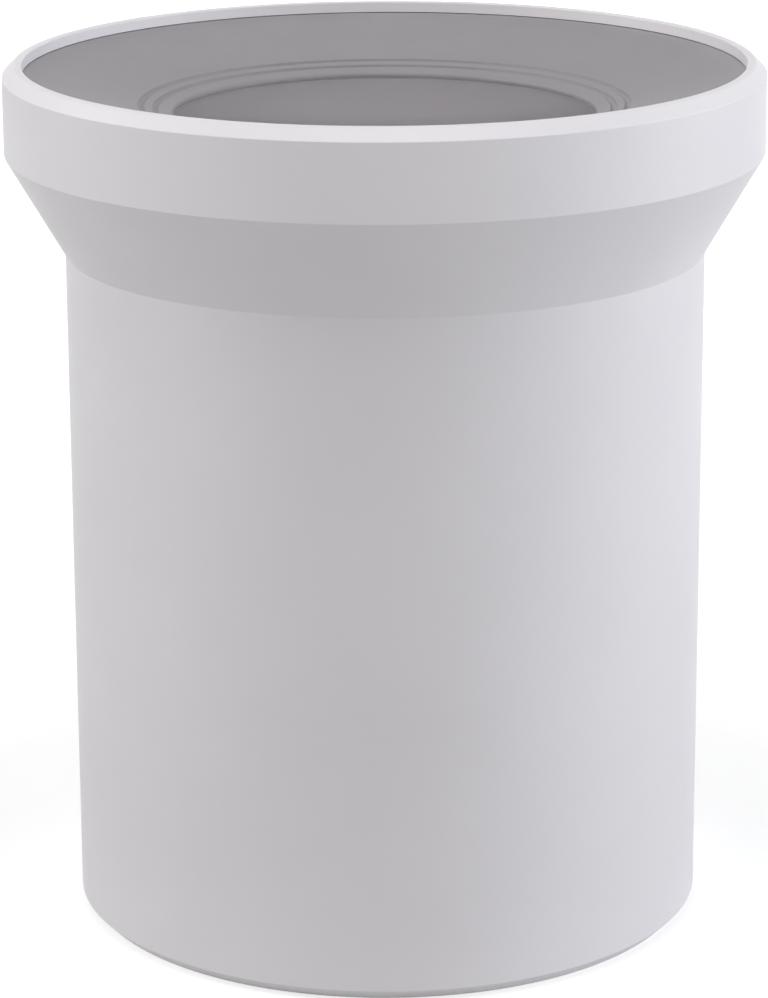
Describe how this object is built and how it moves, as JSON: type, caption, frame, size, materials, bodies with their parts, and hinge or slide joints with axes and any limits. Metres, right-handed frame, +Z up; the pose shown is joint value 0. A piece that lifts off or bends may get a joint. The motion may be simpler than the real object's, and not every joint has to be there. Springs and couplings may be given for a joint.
{
  "type": "toilet pan connector",
  "caption": "Straight toilet pan connector: a plain drain spigot that flares through a conical shoulder to a wider socket, with a sloping rubber lip seal held in its mouth.",
  "frame": {"origin": "centre of the spigot's end face, which it stands on", "axes": "+Z up the axis, from the spigot end to the socket's rim; X and Y are any pair across it"},
  "size_m": [0.13, 0.13, 0.15],
  "materials": {
    "white_polypropylene": "satin as moulded",
    "grey_rubber": "matt as moulded"
  },
  "bodies": {
    "root": {"connector_body": "white_polypropylene", "lip_seal": "grey_rubber"}
  },
  "joints": []
}
